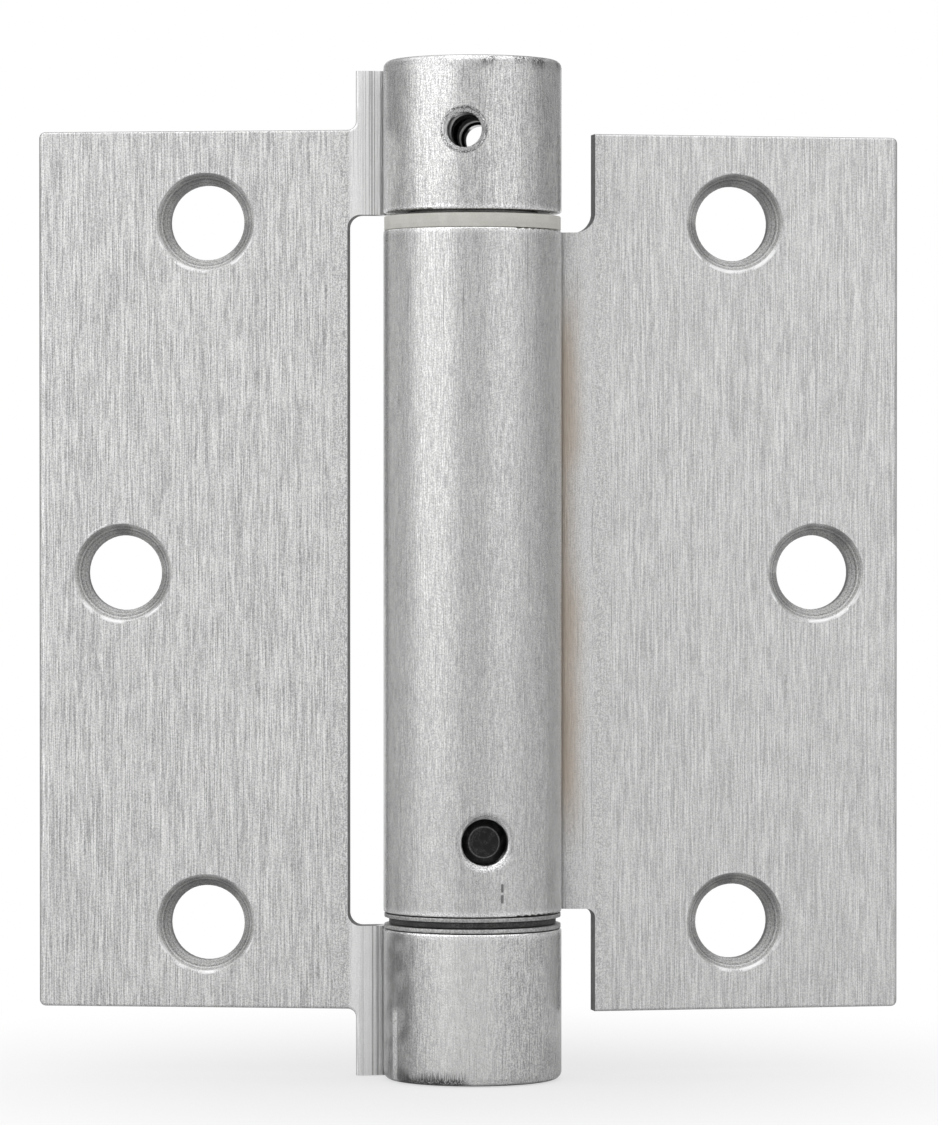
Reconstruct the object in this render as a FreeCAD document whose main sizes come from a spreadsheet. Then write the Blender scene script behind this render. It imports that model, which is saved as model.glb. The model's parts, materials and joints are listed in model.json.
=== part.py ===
import FreeCAD
import Part
import Sketcher

import math
import os
from types import SimpleNamespace

# Driving dimensions in millimetres and degrees
DIMENSIONS = {
    # Sheet of both leaves, seen along the pin
    "leaf_height": 101.6,
    "leaf_reach": 50.9,
    "sheet_thickness": 2.7,
    "barrel_radius": 10.25,
    "face_offset": 1.0,
    "swage_radius": 11.3,
    "seam_angle": 6.0,
    "fold_back": 8.5,
    # Knuckles and the outline of the blanks
    "knuckle_overhang": 7.7,
    "top_knuckle_length": 17.5,
    "low_knuckle_length": 17.3,
    "upper_gap": 2.0,
    "lower_gap": 1.9,
    "door_leaf_drop": 0.4,
    "barrel_slot": 4.4,
    "tab_setback": 0.95,
    "tab_top_drop": 0.9,
    "tab_root_radius": 1.0,
    "slot_corner_radius": 1.5,
    "notch_top_radius": 2.3,
    "notch_low_radius": 1.0,
    "outer_corner_radius": 0.8,
    "end_rim_radius": 0.9,
    "inner_rim_radius": 0.25,
    "edge_radius": 0.3,
    # Screw holes, placed from the edges of the leaf
    "end_hole_inset": 10.16,
    "end_hole_setback": 19.65,
    "middle_hole_setback": 9.95,
    "screw_hole_diameter": 8.7,
    "countersink_diameter": 11.4,
    "countersink_angle": 82.0,
    # Chamfered holes in the front of the barrel
    "mouth_angle": 90.0,
    "drill_lead": 0.5,
    # Tension hole in the top knuckle
    "tension_hole_drop": 8.5,
    "tension_hole_bearing": 0.7,
    "tension_hole_diameter": 4.0,
    "tension_mouth_diameter": 5.3,
    "tension_outlet_diameter": 3.4,
    # Anchor pin low in the centre barrel
    "anchor_mouth_diameter": 6.3,
    "anchor_pin_rise": 8.5,
    "anchor_pin_bearing": 2.4,
    "anchor_pin_diameter": 5.3,
    "anchor_pin_recess": 1.2,
    "anchor_pin_length": 6.0,
    "anchor_pin_chamfer": 0.9,
    # Clearances
    "running_clearance": 0.06,
    "seat_clearance": 0.03,
    "washer_clearance": 0.15,
    "rubbing_gap": 0.1,
    "flange_clearance": 0.4,
    "journal_end_gap": 0.5,
    "coil_clearance": 0.35,
    "coil_gap": 0.13,
    "coil_end_gap": 0.3,
    "nose_clearance": 0.9,
    "tang_clearance": 0.15,
    # Bush, plugs and adjuster
    "bush_wall": 1.95,
    "bush_length": 10.0,
    "journal_overrun": 0.45,
    "flange_setback": 0.1,
    "adjuster_recess": 0.8,
    "socket_width": 8.0,
    "socket_web": 0.45,
    "anchor_plug_length": 16.0,
    "bottom_plug_recess": 0.6,
    "bottom_plug_floor": 2.4,
    # Spring and the slotted noses that hold its tangs
    "wire_diameter": 2.4,
    "bend_swell": 0.06,
    "tang_overrun": 3.0,
    "nose_length": 7.0,
    # Washers in the lower gap
    "thrust_washer_thickness": 0.45,
    "slip_ring_setback": 0.65,
}
size = SimpleNamespace(**DIMENSIONS)

# Expressions that several pieces share
LEAF_TOP = "(dims.leaf_height / 2)"
BARREL_END = f"({LEAF_TOP} + dims.knuckle_overhang)"
TOP_KNUCKLE_FOOT = f"({BARREL_END} - dims.top_knuckle_length)"
LOW_KNUCKLE_TOP = f"(dims.low_knuckle_length - {BARREL_END})"
CENTRE_TOP = f"({TOP_KNUCKLE_FOOT} - dims.upper_gap)"
CENTRE_FOOT = f"({LOW_KNUCKLE_TOP} + dims.lower_gap)"
INNER_EDGE = "(dims.barrel_radius + dims.barrel_slot)"
TAB_EDGE = f"({INNER_EDGE} - dims.tab_setback)"
BEYOND = "(dims.leaf_reach + dims.leaf_height)"
BORE_RADIUS = "(dims.barrel_radius - dims.sheet_thickness)"
SEAT_RADIUS = f"({BORE_RADIUS} - dims.seat_clearance)"
RIM_RADIUS = "(dims.barrel_radius - dims.flange_setback)"
JOURNAL_BORE = f"({SEAT_RADIUS} - dims.bush_wall)"
JOURNAL_RADIUS = f"({JOURNAL_BORE} - dims.running_clearance)"
TENSION_HEIGHT = f"({BARREL_END} - dims.tension_hole_drop)"
TENSION_BEARING = "(dims.tension_hole_bearing - dims.fold_back)"
ANCHOR_HEIGHT = f"({CENTRE_FOOT} + dims.anchor_pin_rise)"
ANCHOR_BEARING = "(dims.fold_back - dims.anchor_pin_bearing)"
ANCHOR_BORE = "(dims.anchor_pin_diameter + 2 * dims.seat_clearance)"
DRILL_START = "(dims.barrel_radius + dims.drill_lead)"
FLANGE_TOP = f"({TOP_KNUCKLE_FOOT} - dims.flange_clearance)"
BUSH_FOOT = f"({CENTRE_TOP} - dims.bush_length)"
UPPER_NOSE_ROOT = f"({BUSH_FOOT} - dims.journal_overrun)"
LOWER_NOSE_ROOT = f"({CENTRE_FOOT} + dims.anchor_plug_length)"
BOTTOM_PLUG_FOOT = f"(dims.bottom_plug_recess - {BARREL_END})"
BOTTOM_PLUG_FLOOR = f"({BOTTOM_PLUG_FOOT} + dims.bottom_plug_floor)"
WIRE_RADIUS = "(dims.wire_diameter / 2)"
COIL_RADIUS = f"({BORE_RADIUS} - dims.coil_clearance - {WIRE_RADIUS})"
NOSE_RADIUS = f"({COIL_RADIUS} - {WIRE_RADIUS} - dims.nose_clearance)"
TANG_INSET = f"(dims.coil_end_gap + {WIRE_RADIUS})"

# Points of a line, arc or circle in sketch constraints, and the sketch origin
START, END, CENTRE = range(1, 4)
ORIGIN = (-1, START)

doc = FreeCAD.newDocument("spring_hinge")
dims = doc.addObject("Spreadsheet::Sheet", "dims")
for row, (name, value) in enumerate(DIMENSIONS.items(), 1):
    dims.set(f"A{row}", name)
    dims.set(f"B{row}", str(value))
    dims.setAlias(f"B{row}", name)
doc.recompute()


# Sketching helpers
def new_body(label):
    body = doc.addObject("PartDesign::Body", label)
    body.Label = label
    return body


def new_sketch(body, name, role):
    """A sketch on one of the body's own origin planes."""
    plane = next(part for part in body.Origin.OriginFeatures if part.Role == role)
    sketch = body.newObject("Sketcher::SketchObject", name)
    sketch.AttachmentSupport = [(plane, "")]
    sketch.MapMode = "FlatFace"
    return sketch


def bind(target, **expressions):
    """Tie properties of a feature to the spreadsheet."""
    for name, expression in expressions.items():
        target.setExpression(name, expression)


def measure(sketch, kind, *where):
    """What a dimension reads on the sketch as drawn, so that adding it moves nothing."""
    if kind == "Radius":
        return sketch.Geometry[where[0]].Radius
    if kind == "Diameter":
        return 2 * sketch.Geometry[where[0]].Radius
    span = sketch.getPoint(*where[2:]) - sketch.getPoint(*where[:2])
    return span.x if kind == "DistanceX" else span.y


def dimension(sketch, expression, kind, *where):
    """Add a dimension to a sketch, tied to the spreadsheet."""
    drawn = measure(sketch, kind, *where)
    index = sketch.addConstraint(Sketcher.Constraint(kind, *where, drawn))
    sketch.setExpression(f"Constraints[{index}]", expression)


def relate(sketch, kind, *where):
    sketch.addConstraint(Sketcher.Constraint(kind, *where))


def place_point(sketch, geometry, point, across, up):
    """Place a point of a sketch by two signed distances from the sketch origin."""
    dimension(sketch, across, "DistanceX", *ORIGIN, geometry, point)
    dimension(sketch, up, "DistanceY", *ORIGIN, geometry, point)


def polygon(sketch, corners):
    """Draw a closed outline of straight lines, each starting at one of the corners."""
    turn = 2 * math.pi / len(corners)
    ring = [FreeCAD.Vector(math.cos(i * turn), math.sin(i * turn), 0) for i in range(len(corners))]
    following = ring[1:] + ring[:1]
    lines = [sketch.addGeometry(Part.LineSegment(a, b)) for a, b in zip(ring, following)]
    for line, after in zip(lines, lines[1:] + lines[:1]):
        relate(sketch, "Coincident", line, END, after, START)
    for line, (across, up) in zip(lines, corners):
        place_point(sketch, line, START, across, up)
    return lines


def rectangle(sketch, left, low, right, high):
    return polygon(sketch, [(left, low), (right, low), (right, high), (left, high)])


def circle(sketch, across, up, diameter):
    drawn = Part.Circle(FreeCAD.Vector(1, 1, 0), FreeCAD.Vector(0, 0, 1), 1)
    index = sketch.addGeometry(drawn)
    dimension(sketch, diameter, "Diameter", index)
    place_point(sketch, index, CENTRE, across, up)


def turn_sketch(sketch, bearing, radius="0"):
    """Turn a sketch of the XZ plane about the pin axis and move it out to a radius at the front."""
    upright = FreeCAD.Rotation(FreeCAD.Vector(0, 1, 0), 1)
    sketch.AttachmentOffset = FreeCAD.Placement(FreeCAD.Vector(0, 0, 0), upright)
    sketch.setExpression("AttachmentOffset.Rotation.Angle", bearing)
    sketch.setExpression("AttachmentOffset.Base.x", f"{radius} * sin(({bearing}) * 1deg)")
    sketch.setExpression("AttachmentOffset.Base.z", f"{radius} * cos(({bearing}) * 1deg)")


# Feature helpers
def pad(body, sketch, length):
    """Pad a sketch evenly to both sides of its plane."""
    feature = body.newObject("PartDesign::Pad", sketch.Name + "_pad")
    feature.Profile = sketch
    feature.SideType = "Symmetric"
    bind(feature, Length=length)
    doc.recompute()


def finish_cut(body, feature, before):
    doc.recompute()
    if body.Shape.Volume >= before:
        raise RuntimeError(f"{feature.Name} took nothing away")


def cut(body, sketch, side="Symmetric", depth=None):
    """Cut a sketch right through, or to a depth on the side behind the sketch plane."""
    before = body.Shape.Volume
    feature = body.newObject("PartDesign::Pocket", sketch.Name + "_cut")
    feature.Profile = sketch
    feature.SideType = side
    feature.Type = "Length" if depth else "ThroughAll"
    if depth:
        bind(feature, Length=depth)
    finish_cut(body, feature, before)


def drill(body, sketch, diameter, mouth, angle, depth=None):
    """Drill the circles of a sketch, each with a countersunk mouth."""
    doc.recompute()
    before = body.Shape.Volume
    hole = body.newObject("PartDesign::Hole", sketch.Name + "_drilled")
    hole.Profile = sketch
    hole.DepthType = "Dimension" if depth else "ThroughAll"
    hole.DrillPoint = "Flat"
    hole.HoleCutType = "Countersink"
    bind(hole, Diameter=diameter, HoleCutDiameter=mouth, HoleCutCountersinkAngle=angle)
    if depth:
        bind(hole, Depth=depth)
    finish_cut(body, hole, before)


def revolve(body, sketch, axis="V_Axis"):
    feature = body.newObject("PartDesign::Revolution", sketch.Name + "_turned")
    feature.Profile = sketch
    feature.ReferenceAxis = (sketch, [axis])
    feature.Angle = 360
    doc.recompute()


def turned(label, corners):
    """A piece turned on a lathe: its half section, as radius and height, spun about the pin axis."""
    body = new_body(label)
    sketch = new_sketch(body, label + "_section", "XZ_Plane")
    polygon(sketch, corners)
    revolve(body, sketch)
    return body


def near(value, target):
    return abs(value - target) < 1e-4


def round_edges(body, name, radius, test):
    """Fillet the edges of the body that pass the test."""
    edges = [f"Edge{i}" for i, edge in enumerate(body.Shape.Edges, 1) if test(edge)]
    base = body.Tip
    feature = body.newObject("PartDesign::Fillet", f"{body.Label}_{name}")
    feature.Base = (base, edges)
    bind(feature, Radius=radius)
    doc.recompute()


# Leaves: a rolled sheet, cut to its outline, rounded and drilled
def draw_sheet_section(sketch):
    """The sheet seen along the pin: the roll, the swage bend and the flat leaf along +X."""
    bore = size.barrel_radius - size.sheet_thickness
    front_radius = size.swage_radius + size.sheet_thickness
    front_y = size.face_offset
    back_y = front_y + size.sheet_thickness
    bend_y = front_y + front_radius
    bend_x = math.sqrt((bore + front_radius) ** 2 - bend_y**2)
    meet = math.atan2(bend_y, bend_x)
    seam = math.radians(360 + size.seam_angle)

    def arc(x, y, radius, start, stop):
        ring = Part.Circle(FreeCAD.Vector(x, y, 0), FreeCAD.Vector(0, 0, 1), radius)
        return sketch.addGeometry(Part.ArcOfCircle(ring, start, stop))

    def line(start, stop):
        return sketch.addGeometry(Part.LineSegment(FreeCAD.Vector(*start, 0), FreeCAD.Vector(*stop, 0)))

    def at_seam(radius):
        return radius * math.cos(seam), radius * math.sin(seam)

    roll_outside = arc(0, 0, size.barrel_radius, meet, seam)
    roll_inside = arc(0, 0, bore, meet, seam)
    bend_back = arc(bend_x, bend_y, size.swage_radius, meet + math.pi, 1.5 * math.pi)
    bend_front = arc(bend_x, bend_y, front_radius, meet + math.pi, 1.5 * math.pi)
    roll_end = line(at_seam(size.barrel_radius), at_seam(bore))
    front = line((bend_x, front_y), (size.leaf_reach, front_y))
    edge = line((size.leaf_reach, front_y), (size.leaf_reach, back_y))
    back = line((size.leaf_reach, back_y), (bend_x, back_y))

    for roll in (roll_outside, roll_inside):
        relate(sketch, "Coincident", roll, CENTRE, *ORIGIN)
    relate(sketch, "Tangent", roll_outside, START, bend_back, START)
    relate(sketch, "Tangent", roll_inside, START, bend_front, START)
    relate(sketch, "Tangent", bend_front, END, front, START)
    relate(sketch, "Tangent", bend_back, END, back, END)
    relate(sketch, "Coincident", roll_outside, END, roll_end, START)
    relate(sketch, "Coincident", roll_inside, END, roll_end, END)
    relate(sketch, "Coincident", front, END, edge, START)
    relate(sketch, "Coincident", edge, END, back, START)
    relate(sketch, "PointOnObject", *ORIGIN, roll_end)
    relate(sketch, "Horizontal", front)
    relate(sketch, "Horizontal", back)
    relate(sketch, "Vertical", edge)
    dimension(sketch, "dims.barrel_radius", "Radius", roll_outside)
    dimension(sketch, BORE_RADIUS, "Radius", roll_inside)
    dimension(sketch, "dims.swage_radius", "Radius", bend_back)
    dimension(sketch, "dims.swage_radius + dims.sheet_thickness", "Radius", bend_front)
    dimension(sketch, "dims.sheet_thickness", "DistanceY", edge, START, edge, END)
    seam_rise = "dims.barrel_radius * sin(dims.seam_angle * 1deg)"
    dimension(sketch, seam_rise, "DistanceY", *ORIGIN, roll_end, START)
    place_point(sketch, front, END, "dims.leaf_reach", "dims.face_offset")


def rolled_leaf(label, height):
    body = new_body(label)
    section = new_sketch(body, label + "_section", "XY_Plane")
    draw_sheet_section(section)
    pad(body, section, height)
    return body


def round_corners(body, name, radius, outline, lines):
    """Round the sheet where lines of its outline start."""
    points = [outline.getPoint(line, START) for line in lines]

    def at_corner(edge):
        return any(all(near(v.X, p.x) and near(v.Z, p.y) for v in edge.Vertexes) for p in points)

    round_edges(body, name, radius, at_corner)


def finish_flat(body):
    """Round the outer corners of the flat leaf and break the punched edges of its front face."""
    corner_x = size.leaf_reach
    corner_z = size.leaf_height / 2

    def outer_corner(edge):
        return all(near(v.X, corner_x) and near(abs(v.Z), corner_z) for v in edge.Vertexes)

    def front_edge(edge):
        on_face = all(near(v.Y, size.face_offset) for v in edge.Vertexes)
        outermost = max(v.X for v in edge.Vertexes)
        return on_face and outermost > corner_x - 1.1 * size.outer_corner_radius

    round_edges(body, "outer_corners", "dims.outer_corner_radius", outer_corner)
    round_edges(body, "front_edges", "dims.edge_radius", front_edge)


def round_rims(body, name, radius, outermost):
    """Round the outer rims of the roll, either the outermost two or all between them."""
    heights = [vertex.Z for vertex in body.Shape.Vertexes]
    low, high = min(heights), max(heights)

    def on_rim(edge):
        ends = edge.Vertexes
        level = ends[0].Z
        on_roll = all(near(math.hypot(end.X, end.Y), size.barrel_radius) for end in ends)
        flat = all(near(end.Z, level) for end in ends)
        return on_roll and flat and outermost == (near(level, low) or near(level, high))

    round_edges(body, name, radius, on_rim)


def drill_screw_holes(body, rise="0"):
    """Three countersunk holes, drilled from the front face, their middle at a rise above mid height."""
    sketch = new_sketch(body, body.Label + "_screw_holes", "XZ_Plane")
    sketch.setExpression("AttachmentOffset.Base.z", "-dims.face_offset")
    end_height = f"({LEAF_TOP} - dims.end_hole_inset)"
    for up in (end_height, "-" + end_height):
        end_reach = "dims.leaf_reach - dims.end_hole_setback"
        circle(sketch, end_reach, f"{rise} + {up}", "dims.screw_hole_diameter")
    circle(sketch, "dims.leaf_reach - dims.middle_hole_setback", rise, "dims.screw_hole_diameter")
    drill(body, sketch, "dims.screw_hole_diameter", "dims.countersink_diameter", "dims.countersink_angle")


def drill_barrel(body, name, bearing, height, diameter, mouth):
    """A hole from the front into the barrel, with a chamfered mouth."""
    sketch = new_sketch(body, name, "XZ_Plane")
    turn_sketch(sketch, bearing, DRILL_START)
    circle(sketch, "0", height, diameter)
    flare = "2 * dims.drill_lead * tan(dims.mouth_angle / 2 * 1deg)"
    drill(body, sketch, diameter, f"{mouth} + {flare}", "dims.mouth_angle", DRILL_START)


def make_frame_leaf():
    """The left leaf and the two end knuckles, drawn along +X and then turned over to -X."""
    body = rolled_leaf("frame_leaf", f"2 * {BARREL_END}")
    outline = new_sketch(body, "frame_leaf_outline", "XZ_Plane")
    # The top knuckle lies at -Z until the leaf is turned over
    slot = rectangle(outline, "-" + BEYOND, "-" + TOP_KNUCKLE_FOOT, INNER_EDGE, "-" + LOW_KNUCKLE_TOP)
    low_step = rectangle(outline, TAB_EDGE, LEAF_TOP, BEYOND, BEYOND)
    tab_top = f"(dims.tab_top_drop - {BARREL_END})"
    top_step = polygon(
        outline,
        [
            (TAB_EDGE, "-" + LEAF_TOP),
            (TAB_EDGE, tab_top),
            ("dims.barrel_radius", tab_top),
            ("dims.barrel_radius", "-" + BEYOND),
            (BEYOND, "-" + BEYOND),
            (BEYOND, "-" + LEAF_TOP),
        ],
    )
    cut(body, outline)
    round_corners(body, "slot_corners", "dims.slot_corner_radius", outline, slot[1:3])
    round_corners(body, "tab_roots", "dims.tab_root_radius", outline, [low_step[0], top_step[0]])
    finish_flat(body)
    round_rims(body, "end_rims", "dims.end_rim_radius", True)
    round_rims(body, "inner_rims", "dims.inner_rim_radius", False)
    drill_screw_holes(body, "dims.door_leaf_drop")

    # Bearings change sign on the leaf that is turned over
    bearing = "-dims.tension_hole_bearing"
    height = "-" + TENSION_HEIGHT
    mouth = "dims.tension_mouth_diameter"
    drill_barrel(body, "tension_hole", bearing, height, "dims.tension_hole_diameter", mouth)
    outlet = new_sketch(body, "tension_outlet", "XZ_Plane")
    turn_sketch(outlet, bearing)
    circle(outlet, "0", height, "dims.tension_outlet_diameter")
    cut(body, outlet, "One side")

    turned_over = "rotation(vector(0; 0; 1); -dims.fold_back) * rotation(vector(0; 1; 0); 180)"
    bind(body, Placement=f"placement(vector(0; 0; 0); {turned_over})")
    return body


def make_door_leaf():
    """The right leaf and the long centre barrel, drawn about mid height of this leaf and then lowered."""
    body = rolled_leaf("door_leaf", "dims.leaf_height")
    outline = new_sketch(body, "door_leaf_outline", "XZ_Plane")
    top_notch = rectangle(outline, "-" + BEYOND, f"{CENTRE_TOP} + dims.door_leaf_drop", INNER_EDGE, BEYOND)
    foot = f"{CENTRE_FOOT} + dims.door_leaf_drop"
    low_notch = rectangle(outline, "-" + BEYOND, "-" + BEYOND, INNER_EDGE, foot)
    cut(body, outline)
    round_corners(body, "top_notch", "dims.notch_top_radius", outline, [top_notch[1]])
    round_corners(body, "low_notch", "dims.notch_low_radius", outline, [low_notch[2]])
    finish_flat(body)
    round_rims(body, "rims", "dims.inner_rim_radius", False)
    drill_screw_holes(body)
    height = f"{ANCHOR_HEIGHT} + dims.door_leaf_drop"
    mouth = "dims.anchor_mouth_diameter"
    drill_barrel(body, "anchor_hole", "-dims.anchor_pin_bearing", height, ANCHOR_BORE, mouth)

    folded_back = "rotation(vector(0; 0; 1); dims.fold_back)"
    bind(body, Placement=f"placement(vector(0; 0; -dims.door_leaf_drop); {folded_back})")
    return body


# Pieces of the upper gap and the top knuckle
def make_upper_bush():
    return turned(
        "upper_bush",
        [
            (JOURNAL_BORE, BUSH_FOOT),
            (SEAT_RADIUS, BUSH_FOOT),
            (SEAT_RADIUS, CENTRE_TOP),
            (RIM_RADIUS, CENTRE_TOP),
            (RIM_RADIUS, FLANGE_TOP),
            (JOURNAL_BORE, FLANGE_TOP),
        ],
    )


def cut_nose_slot(body, low, high):
    """The slot across a nose that holds a tang of the spring."""
    slot = new_sketch(body, body.Label + "_slot", "YZ_Plane")
    half = f"({WIRE_RADIUS} + dims.tang_clearance)"
    rectangle(slot, "-" + half, low, half, high)
    cut(body, slot)


def make_tension_adjuster():
    head_radius = f"({BORE_RADIUS} - dims.running_clearance)"
    shoulder = f"({FLANGE_TOP} + dims.rubbing_gap / 2)"
    top = f"({BARREL_END} - dims.adjuster_recess)"
    tip = f"({UPPER_NOSE_ROOT} - dims.nose_length)"
    body = turned(
        "tension_adjuster",
        [
            ("0", tip),
            (NOSE_RADIUS, tip),
            (NOSE_RADIUS, UPPER_NOSE_ROOT),
            (JOURNAL_RADIUS, UPPER_NOSE_ROOT),
            (JOURNAL_RADIUS, shoulder),
            (head_radius, shoulder),
            (head_radius, top),
            ("0", top),
        ],
    )
    slot_end = f"({UPPER_NOSE_ROOT} - dims.coil_end_gap + dims.tang_clearance)"
    cut_nose_slot(body, f"{tip} - dims.nose_length", slot_end)

    socket = new_sketch(body, "hex_socket", "XY_Plane")
    socket.setExpression("AttachmentOffset.Base.z", top)
    flat = "(dims.socket_width / 2)"
    corner = "(dims.socket_width / sqrt(3))"
    polygon(
        socket,
        [
            (corner, "0"),
            (f"{corner} / 2", flat),
            (f"-{corner} / 2", flat),
            ("-" + corner, "0"),
            (f"-{corner} / 2", "-" + flat),
            (f"{corner} / 2", "-" + flat),
        ],
    )
    socket_floor = f"({TENSION_HEIGHT} + dims.tension_hole_diameter / 2 + dims.socket_web)"
    cut(body, socket, "One side", f"{top} - {socket_floor}")

    for name, quarter in (("cross_hole", "0"), ("second_cross_hole", "90")):
        cross = new_sketch(body, name, "XZ_Plane")
        turn_sketch(cross, f"{TENSION_BEARING} + {quarter}")
        circle(cross, "0", TENSION_HEIGHT, "dims.tension_hole_diameter")
        cut(body, cross)
    return body


# Pieces in the centre barrel
def make_anchor_plug():
    foot = f"({BOTTOM_PLUG_FLOOR} + dims.journal_end_gap)"
    tip = f"({LOWER_NOSE_ROOT} + dims.nose_length)"
    body = turned(
        "anchor_plug",
        [
            ("0", foot),
            (JOURNAL_RADIUS, foot),
            (JOURNAL_RADIUS, CENTRE_FOOT),
            (SEAT_RADIUS, CENTRE_FOOT),
            (SEAT_RADIUS, LOWER_NOSE_ROOT),
            (NOSE_RADIUS, LOWER_NOSE_ROOT),
            (NOSE_RADIUS, tip),
            ("0", tip),
        ],
    )
    slot_end = f"({LOWER_NOSE_ROOT} + dims.coil_end_gap - dims.tang_clearance)"
    cut_nose_slot(body, slot_end, f"{tip} + dims.nose_length")
    seat = new_sketch(body, "anchor_pin_seat", "XZ_Plane")
    turn_sketch(seat, ANCHOR_BEARING, "dims.barrel_radius")
    circle(seat, "0", ANCHOR_HEIGHT, ANCHOR_BORE)
    cut(body, seat, "One side", "dims.anchor_pin_recess + dims.anchor_pin_length + dims.seat_clearance")
    return body


def make_anchor_pin():
    """A dowel pushed in from the front, short of the barrel's surface."""
    body = new_body("anchor_pin")
    section = new_sketch(body, "anchor_pin_section", "XY_Plane")
    radius = "(dims.anchor_pin_diameter / 2)"
    flat_radius = f"({radius} - dims.anchor_pin_chamfer)"
    outer = "(dims.anchor_pin_recess - dims.barrel_radius)"
    inner = f"({outer} + dims.anchor_pin_length)"
    polygon(
        section,
        [
            ("0", outer),
            (flat_radius, outer),
            (radius, f"{outer} + dims.anchor_pin_chamfer"),
            (radius, f"{inner} - dims.anchor_pin_chamfer"),
            (flat_radius, inner),
            ("0", inner),
        ],
    )
    revolve(body, section)
    bearing = f"rotation(vector(0; 0; 1); {ANCHOR_BEARING})"
    bind(body, Placement=f"placement(vector(0; 0; {ANCHOR_HEIGHT}); {bearing})")
    return body


def draw_half_disc(sketch, across, up, radius):
    """Half a disc with its straight side upright."""
    ring = Part.Circle(FreeCAD.Vector(0, 0, 0), FreeCAD.Vector(0, 0, 1), 1)
    arc = sketch.addGeometry(Part.ArcOfCircle(ring, -math.pi / 2, math.pi / 2))
    low, high = FreeCAD.Vector(0, -1, 0), FreeCAD.Vector(0, 1, 0)
    chord = sketch.addGeometry(Part.LineSegment(low, high))
    relate(sketch, "Coincident", arc, START, chord, START)
    relate(sketch, "Coincident", arc, END, chord, END)
    relate(sketch, "Vertical", chord)
    relate(sketch, "PointOnObject", arc, CENTRE, chord)
    dimension(sketch, radius, "Radius", arc)
    place_point(sketch, arc, CENTRE, across, up)
    return chord


def make_torsion_spring():
    """A left-hand coil, which closing the door winds up, with a tang bent in across each end."""
    body = new_body("torsion_spring")
    low = f"({LOWER_NOSE_ROOT} + {TANG_INSET})"
    high = f"({UPPER_NOSE_ROOT} - {TANG_INSET})"
    wire = new_sketch(body, "spring_wire", "XZ_Plane")
    circle(wire, COIL_RADIUS, low, "dims.wire_diameter")
    doc.recompute()
    coil = body.newObject("PartDesign::AdditiveHelix", "spring_coil")
    coil.Profile = wire
    coil.ReferenceAxis = (wire, ["V_Axis"])
    coil.Mode = "height-turns-angle"
    coil.LeftHanded = True
    whole_turns = f"floor(({high} - {low}) / (dims.wire_diameter + dims.coil_gap))"
    bind(coil, Height=f"{high} - {low}", Turns=whole_turns)
    doc.recompute()

    for name, height in (("low_tang", low), ("high_tang", high)):
        tang = new_sketch(body, name, "YZ_Plane")
        tang.setExpression("AttachmentOffset.Base.z", f"({COIL_RADIUS} - dims.tang_overrun) / 2")
        circle(tang, "0", height, "dims.wire_diameter")
        pad(body, tang, f"{COIL_RADIUS} + dims.tang_overrun")
        bend = new_sketch(body, name + "_bend", "XZ_Plane")
        chord = draw_half_disc(bend, COIL_RADIUS, height, f"{WIRE_RADIUS} + dims.bend_swell")
        revolve(body, bend, f"Edge{chord + 1}")
    return body


# Pieces of the lower gap and the bottom knuckle
def make_ring(label, low, high, outside):
    bore = f"({JOURNAL_RADIUS} + dims.washer_clearance)"
    return turned(label, [(bore, low), (outside, low), (outside, high), (bore, high)])


def make_lower_stack():
    """Two thrust washers with a slip ring between them, a rubbing gap on every side."""
    ring_radius = "(dims.barrel_radius - dims.slip_ring_setback)"
    step = "(dims.thrust_washer_thickness + dims.rubbing_gap)"
    gap_top = f"({CENTRE_FOOT} - dims.rubbing_gap)"
    gap_foot = f"({LOW_KNUCKLE_TOP} + dims.rubbing_gap)"
    return [
        make_ring("upper_thrust_washer", f"{gap_top} - dims.thrust_washer_thickness", gap_top, RIM_RADIUS),
        make_ring("slip_ring", f"{gap_foot} + {step}", f"{gap_top} - {step}", ring_radius),
        make_ring("lower_thrust_washer", gap_foot, f"{gap_foot} + dims.thrust_washer_thickness", RIM_RADIUS),
    ]


def make_bottom_plug():
    return turned(
        "bottom_plug",
        [
            ("0", BOTTOM_PLUG_FOOT),
            (SEAT_RADIUS, BOTTOM_PLUG_FOOT),
            (SEAT_RADIUS, LOW_KNUCKLE_TOP),
            (JOURNAL_BORE, LOW_KNUCKLE_TOP),
            (JOURNAL_BORE, BOTTOM_PLUG_FLOOR),
            ("0", BOTTOM_PLUG_FLOOR),
        ],
    )


bodies = [
    make_frame_leaf(),
    make_door_leaf(),
    make_upper_bush(),
    make_tension_adjuster(),
    make_anchor_plug(),
    make_anchor_pin(),
    make_torsion_spring(),
    *make_lower_stack(),
    make_bottom_plug(),
]
doc.recompute()

for item in doc.Objects:
    if {"Invalid", "Error"} & set(item.State):
        raise RuntimeError(f"{item.Name} failed: {item.State}")

os.makedirs("parts", exist_ok=True)
for body in bodies:
    if body.Shape.isNull() or not body.Shape.isValid():
        raise RuntimeError(f"{body.Label} has no sound shape")
    body.Shape.exportStep(f"parts/{body.Label}.step")
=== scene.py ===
"""Dresses a spring loaded door hinge: brushed leaves, rings, pin, spring and plugs, in a white studio."""

import json
import math
from functools import reduce

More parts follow.
